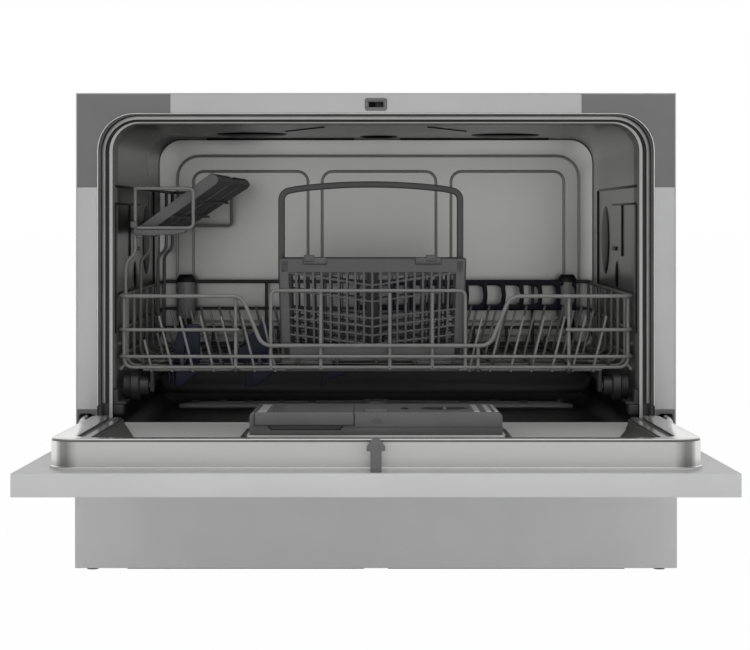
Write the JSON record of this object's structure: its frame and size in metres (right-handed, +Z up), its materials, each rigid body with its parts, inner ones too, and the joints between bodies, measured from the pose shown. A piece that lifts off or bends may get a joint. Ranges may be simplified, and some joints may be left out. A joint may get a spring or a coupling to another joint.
{
  "type": "countertop dishwasher",
  "caption": "Countertop dishwasher with a drop-down door, a wheeled wire rack, a cutlery basket, a fold-up cup shelf and a spray arm.",
  "frame": {"origin": "middle of the footprint of the open dishwasher, on the worktop", "axes": "+Z up, +Y from the open door's free edge to the cabinet's back, +X to the right as seen from the door"},
  "size_m": [0.55, 0.8142, 0.438],
  "materials": {
    "silver_paint": "satin silver paint",
    "stainless": "brushed stainless",
    "dark_trim": "satin dark grey",
    "silver_plastic": "satin silver",
    "grey_plastic": "satin grey",
    "dark_plastic": "satin near black",
    "black_gloss": "gloss black",
    "rubber": "matt rubber",
    "navy_plastic": "satin navy",
    "coated_wire": "grey nylon coat",
    "board": "green board",
    "plated_steel": "zinc plated"
  },
  "bodies": {
    "cabinet": {"outer_casing": "silver_paint", "front_frame": "silver_paint", "corner_trims": "dark_trim", "kick_plate": "silver_paint", "base_tray": "dark_plastic", "levelling_feet": "dark_plastic", "rear_panel": "plated_steel", "rear_screws": "plated_steel", "tub": "stainless", "tub_gasket": "rubber", "hinge_covers": "grey_plastic", "hinge_brackets": "plated_steel", "latch_housing": "dark_plastic", "latch_catch": "dark_plastic", "rack_guides": "grey_plastic", "sump": "grey_plastic", "filter_cup": "dark_plastic", "filter_plate": "stainless", "spray_post": "dark_plastic", "wash_pump": "grey_plastic", "drain_pump": "grey_plastic", "water_heater": "stainless", "inlet_valve": "grey_plastic", "drain_spigot": "dark_plastic", "cord_gland": "rubber", "hoses": "rubber"},
    "door": {"door_panel": "silver_paint", "door_pan": "stainless", "latch_hook": "dark_plastic", "hinge_arms": "plated_steel", "control_fascia": "black_gloss", "display_window": "black_gloss", "control_board": "board", "grip_cup": "dark_trim", "dispenser_body": "grey_plastic"},
    "rack": {"rack_front": "coated_wire", "rack_back": "coated_wire", "rack_left": "coated_wire", "rack_right": "coated_wire", "rack_floor": "coated_wire", "tine_rows": "coated_wire", "shelf_posts": "coated_wire", "cup_comb": "navy_plastic", "plate_clips": "navy_plastic"},
    "detergent_lid": {"detergent_lid": "grey_plastic"},
    "lid_catch": {"lid_catch": "grey_plastic"},
    "rinse_cap": {"rinse_cap": "grey_plastic"},
    "button_power": {"button_power": "silver_plastic"},
    "button_program": {"button_program": "silver_plastic"},
    "button_delay": {"button_delay": "silver_plastic"},
    "button_start": {"button_start": "silver_plastic"},
    "spray_arm": {"spray_arm": "grey_plastic"},
    "wheel_front_left": {"wheel_front_left": "grey_plastic"},
    "wheel_front_right": {"wheel_front_right": "grey_plastic"},
    "wheel_rear_left": {"wheel_rear_left": "grey_plastic"},
    "wheel_rear_right": {"wheel_rear_right": "grey_plastic"},
    "cup_shelf": {"cup_shelf": "grey_plastic"},
    "cutlery_basket": {"cutlery_basket": "grey_plastic", "cutlery_handle": "dark_plastic"}
  },
  "joints": [
    {"name": "door_hinge", "type": "hinge", "parent": "cabinet", "child": "door", "pos_m": [0, -0.08394, 0.114], "axis": [1, 0, 0], "range_deg": [-88.5, 0]},
    {"name": "rack_slide", "type": "slide", "parent": "cabinet", "child": "rack", "axis": [0, -1, 0], "range_m": [0, 0.25]},
    {"name": "spray_arm_spin", "type": "hinge", "parent": "cabinet", "child": "spray_arm", "pos_m": [0, 0.15906, 0.127], "axis": [0, 0, 1], "continuous": true},
    {"name": "basket_lift", "type": "slide", "parent": "rack", "child": "cutlery_basket", "axis": [0, 0, 1], "range_m": [0, 0.045]},
    {"name": "cup_shelf_fold", "type": "hinge", "parent": "rack", "child": "cup_shelf", "pos_m": [-0.2245, 0.13706, 0.312], "axis": [0, -1, 0], "range_deg": [-32, 46]},
    {"name": "detergent_lid_slide", "type": "slide", "parent": "door", "child": "detergent_lid", "axis": [0, -0.9997, 0.0262], "range_m": [0, 0.062]},
    {"name": "lid_catch_press", "type": "slide", "parent": "door", "child": "lid_catch", "axis": [0, -0.0262, -0.9997], "range_m": [0, 0.002], "stiffness_N_per_m": 800},
    {"name": "rinse_cap_turn", "type": "hinge", "parent": "door", "child": "rinse_cap", "pos_m": [0.058, -0.19975, 0.16105], "axis": [0, 0.0262, 0.9997], "range_deg": [0, 90]},
    {"name": "button_power_press", "type": "slide", "parent": "door", "child": "button_power", "axis": [0, 0.0262, 0.9997], "range_m": [0, 0.0015], "stiffness_N_per_m": 700},
    {"name": "button_program_press", "type": "slide", "parent": "door", "child": "button_program", "axis": [0, 0.0262, 0.9997], "range_m": [0, 0.0015], "stiffness_N_per_m": 700},
    {"name": "button_delay_press", "type": "slide", "parent": "door", "child": "button_delay", "axis": [0, 0.0262, 0.9997], "range_m": [0, 0.0015], "stiffness_N_per_m": 700},
    {"name": "button_start_press", "type": "slide", "parent": "door", "child": "button_start", "axis": [0, 0.0262, 0.9997], "range_m": [0, 0.0015], "stiffness_N_per_m": 700},
    {"name": "wheel_front_left_roll", "type": "hinge", "parent": "rack", "child": "wheel_front_left", "pos_m": [-0.2265, -0.01194, 0.165], "axis": [1, 0, 0], "range_deg": [0, 1200]},
    {"name": "wheel_front_right_roll", "type": "hinge", "parent": "rack", "child": "wheel_front_right", "pos_m": [0.2265, -0.01194, 0.165], "axis": [1, 0, 0], "range_deg": [0, 1200]},
    {"name": "wheel_rear_left_roll", "type": "hinge", "parent": "rack", "child": "wheel_rear_left", "pos_m": [-0.2265, 0.32006, 0.165], "axis": [1, 0, 0], "range_deg": [0, 1200]},
    {"name": "wheel_rear_right_roll", "type": "hinge", "parent": "rack", "child": "wheel_rear_right", "pos_m": [0.2265, 0.32006, 0.165], "axis": [1, 0, 0], "range_deg": [0, 1200]}
  ],
  "couplings": [
    {"joint": "wheel_front_left_roll", "follows": "rack_slide", "rad_per_m": 83.333},
    {"joint": "wheel_front_right_roll", "follows": "rack_slide", "rad_per_m": 83.333},
    {"joint": "wheel_rear_left_roll", "follows": "rack_slide", "rad_per_m": 83.333},
    {"joint": "wheel_rear_right_roll", "follows": "rack_slide", "rad_per_m": 83.333}
  ]
}
